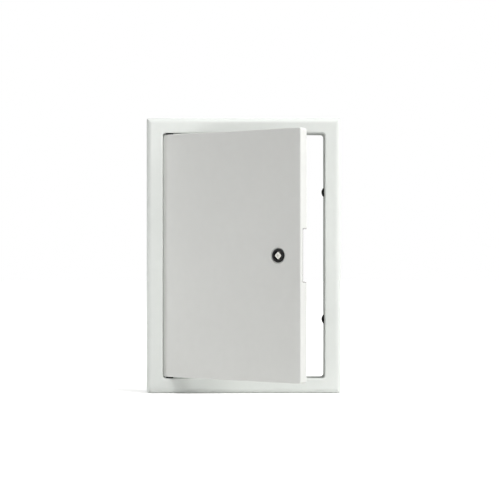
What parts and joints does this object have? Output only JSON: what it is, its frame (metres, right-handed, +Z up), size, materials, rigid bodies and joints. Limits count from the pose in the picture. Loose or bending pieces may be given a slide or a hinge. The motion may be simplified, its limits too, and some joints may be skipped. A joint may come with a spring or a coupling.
{
  "type": "access panel",
  "caption": "White steel access panel for a wall: flanged frame with a pin-hinged door that stands ajar, a square-key cam lock, rubber stops and wall anchors.",
  "frame": {"origin": "centre of the opening, on the plane of the flange's back edge, which lies on the wall", "axes": "+X to the right seen from the room, +Y into the wall, +Z up; hinges on the left"},
  "size_m": [0.24, 0.1573, 0.34],
  "materials": {
    "white_enamel": "satin powder coat",
    "zinc_steel": "bright zinc plate",
    "black_plastic": "fine moulded",
    "black_rubber": "moulded rubber"
  },
  "bodies": {
    "frame": {"front_frame": "white_enamel", "anchor_hinge_upper": "white_enamel", "anchor_hinge_lower": "white_enamel", "anchor_lock_upper": "white_enamel", "anchor_lock_lower": "white_enamel", "stop_upper": "black_rubber", "stop_lower": "black_rubber", "hinge_bush_upper": "black_plastic", "hinge_bush_lower": "black_plastic"},
    "door": {"door_pan": "white_enamel", "upper_hinge_bracket": "zinc_steel", "lower_hinge_plate": "zinc_steel", "lower_hinge_pin": "zinc_steel", "pin_spring": "zinc_steel", "lock_housing": "black_plastic", "lock_washer": "zinc_steel", "lock_nut": "zinc_steel"},
    "upper_pin": {"upper_hinge_pin": "zinc_steel", "pin_clip": "zinc_steel"},
    "lock_core": {"lock_spindle": "zinc_steel", "lock_cam": "zinc_steel", "cam_spring_washer": "zinc_steel", "cam_screw": "zinc_steel"}
  },
  "joints": [
    {"name": "door_hinge", "type": "hinge", "parent": "frame", "child": "door", "pos_m": [-0.0915, -0.001, 0], "axis": [0, 0, -1], "range_deg": [-32.5, 85.5]},
    {"name": "upper_pin_slide", "type": "slide", "parent": "door", "child": "upper_pin", "axis": [0, 0, 1], "range_m": [-0.006, 0], "stiffness_N_per_m": 300, "springref_m": 0.008, "deforming": ["pin_spring"]},
    {"name": "lock_turn", "type": "hinge", "parent": "door", "child": "lock_core", "pos_m": [0.04285, -0.08659, 0], "axis": [-0.5373, -0.8434, 0], "range_deg": [0, 90]}
  ]
}
